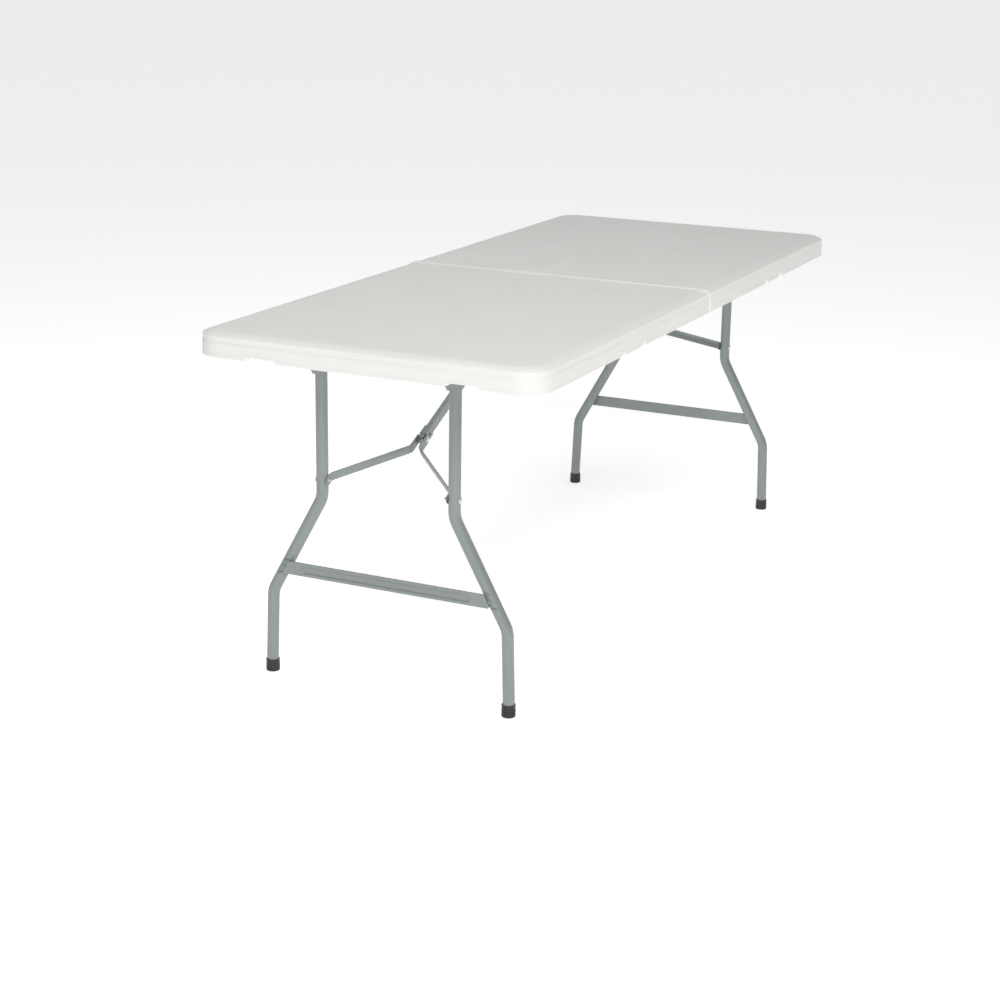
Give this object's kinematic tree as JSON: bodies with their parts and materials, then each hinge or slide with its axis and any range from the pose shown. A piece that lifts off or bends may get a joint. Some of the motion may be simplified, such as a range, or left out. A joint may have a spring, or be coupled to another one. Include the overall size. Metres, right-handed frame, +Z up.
{
  "type": "folding picnic table",
  "caption": "Rectangular fold-in-half table with a moulded top, folding tubular steel leg frames, locking braces and a carry handle.",
  "frame": {"origin": "on the floor under the middle of the table", "axes": "+X along the table, from half a to half b; +Y across it, the carry handle on -Y; +Z up"},
  "size_m": [1.83, 0.75, 0.73],
  "materials": {
    "top_plastic": "fine-textured moulded polyethylene",
    "painted_steel": "satin grey powder coat",
    "zinc_steel": "bright zinc plate",
    "foot_plastic": "matt black",
    "fittings_plastic": "moulded"
  },
  "bodies": {
    "half_a": {"top_half_a": "top_plastic", "side_rail_a_left": "painted_steel", "side_rail_a_right": "painted_steel", "brace_bracket_a": "painted_steel", "bracket_pin_a": "zinc_steel", "hinge_leaf_a_left": "zinc_steel", "hinge_leaf_a_right": "zinc_steel", "handle_bracket_1": "fittings_plastic", "handle_bracket_2": "fittings_plastic", "latch_pin_left": "zinc_steel", "latch_pin_right": "zinc_steel", "hinge_pin_left": "zinc_steel", "hinge_pin_right": "zinc_steel"},
    "leg_frame_a": {"pivot_tube_a": "painted_steel", "pivot_plug_a_left": "fittings_plastic", "pivot_plug_a_right": "fittings_plastic", "leg_a_left": "painted_steel", "leg_a_right": "painted_steel", "stretcher_a": "painted_steel", "leg_gusset_a_left": "painted_steel", "leg_gusset_a_right": "painted_steel", "foot_cap_a_left": "foot_plastic", "foot_cap_a_right": "foot_plastic", "brace_bolt_a_left": "zinc_steel", "brace_bolt_a_right": "zinc_steel"},
    "straps_a": {"brace_strap_a_left": "painted_steel", "brace_strap_a_right": "painted_steel"},
    "arm_a": {"brace_arm_a": "painted_steel", "knuckle_pin_a": "zinc_steel"},
    "collar_a": {"lock_collar_a": "zinc_steel"},
    "half_b": {"top_half_b": "top_plastic", "side_rail_b_left": "painted_steel", "side_rail_b_right": "painted_steel", "brace_bracket_b": "painted_steel", "bracket_pin_b": "zinc_steel", "hinge_leaf_b_left": "zinc_steel", "hinge_leaf_b_right": "zinc_steel", "latch_keeper_left": "fittings_plastic", "latch_keeper_right": "fittings_plastic"},
    "leg_frame_b": {"pivot_tube_b": "painted_steel", "pivot_plug_b_left": "fittings_plastic", "pivot_plug_b_right": "fittings_plastic", "leg_b_left": "painted_steel", "leg_b_right": "painted_steel", "stretcher_b": "painted_steel", "leg_gusset_b_left": "painted_steel", "leg_gusset_b_right": "painted_steel", "foot_cap_b_left": "foot_plastic", "foot_cap_b_right": "foot_plastic", "brace_bolt_b_left": "zinc_steel", "brace_bolt_b_right": "zinc_steel"},
    "straps_b": {"brace_strap_b_left": "painted_steel", "brace_strap_b_right": "painted_steel"},
    "arm_b": {"brace_arm_b": "painted_steel", "knuckle_pin_b": "zinc_steel"},
    "collar_b": {"lock_collar_b": "zinc_steel"},
    "carry_handle": {"carry_handle": "fittings_plastic"},
    "latch_left": {"latch_left": "fittings_plastic"},
    "latch_right": {"latch_right": "fittings_plastic"}
  },
  "joints": [
    {"name": "leg_frame_a_fold", "type": "hinge", "parent": "half_a", "child": "leg_frame_a", "pos_m": [-0.8, 0, 0.697], "axis": [0, -1, 0], "range_deg": [0, 90]},
    {"name": "leg_frame_b_fold", "type": "hinge", "parent": "half_b", "child": "leg_frame_b", "pos_m": [0.8, 0, 0.697], "axis": [0, 1, 0], "range_deg": [0, 90]},
    {"name": "centre_hinge", "type": "hinge", "parent": "half_a", "child": "half_b", "pos_m": [0, 0, 0.6795], "axis": [0, 1, 0], "range_deg": [0, 97.5]},
    {"name": "brace_arm_a_swing", "type": "hinge", "parent": "half_a", "child": "arm_a", "pos_m": [-0.21, 0, 0.697], "axis": [0, 1, 0], "range_deg": [0, 24.5]},
    {"name": "brace_straps_a_swing", "type": "hinge", "parent": "leg_frame_a", "child": "straps_a", "pos_m": [-0.8, 0, 0.428], "axis": [0, -1, 0], "range_deg": [0, 65.5]},
    {"name": "lock_collar_a_slide", "type": "slide", "parent": "arm_a", "child": "collar_a", "axis": [0.9099, 0, 0.4148], "range_m": [0, 0.03]},
    {"name": "brace_arm_b_swing", "type": "hinge", "parent": "half_b", "child": "arm_b", "pos_m": [0.21, 0, 0.697], "axis": [0, -1, 0], "range_deg": [0, 24.5]},
    {"name": "brace_straps_b_swing", "type": "hinge", "parent": "leg_frame_b", "child": "straps_b", "pos_m": [0.8, 0, 0.428], "axis": [0, 1, 0], "range_deg": [0, 65.5]},
    {"name": "lock_collar_b_slide", "type": "slide", "parent": "arm_b", "child": "collar_b", "axis": [-0.9099, 0, 0.4148], "range_m": [0, 0.03]},
    {"name": "carry_handle_swing", "type": "hinge", "parent": "half_a", "child": "carry_handle", "pos_m": [-0.4575, -0.3465, 0.684], "axis": [-1, 0, 0], "range_deg": [0, 180]},
    {"name": "latch_left_swing", "type": "hinge", "parent": "half_a", "child": "latch_left", "pos_m": [-0.8855, 0.217, 0.696], "axis": [1, 0, 0], "range_deg": [0, 90]},
    {"name": "latch_right_swing", "type": "hinge", "parent": "half_a", "child": "latch_right", "pos_m": [-0.8855, -0.217, 0.696], "axis": [-1, 0, 0], "range_deg": [0, 90]}
  ],
  "couplings": [
    {"joint": "brace_arm_a_swing", "follows": "leg_frame_a_fold", "ratio": 0.27222},
    {"joint": "brace_straps_a_swing", "follows": "leg_frame_a_fold", "ratio": 0.72777},
    {"joint": "brace_arm_b_swing", "follows": "leg_frame_b_fold", "ratio": 0.27222},
    {"joint": "brace_straps_b_swing", "follows": "leg_frame_b_fold", "ratio": 0.72777}
  ]
}
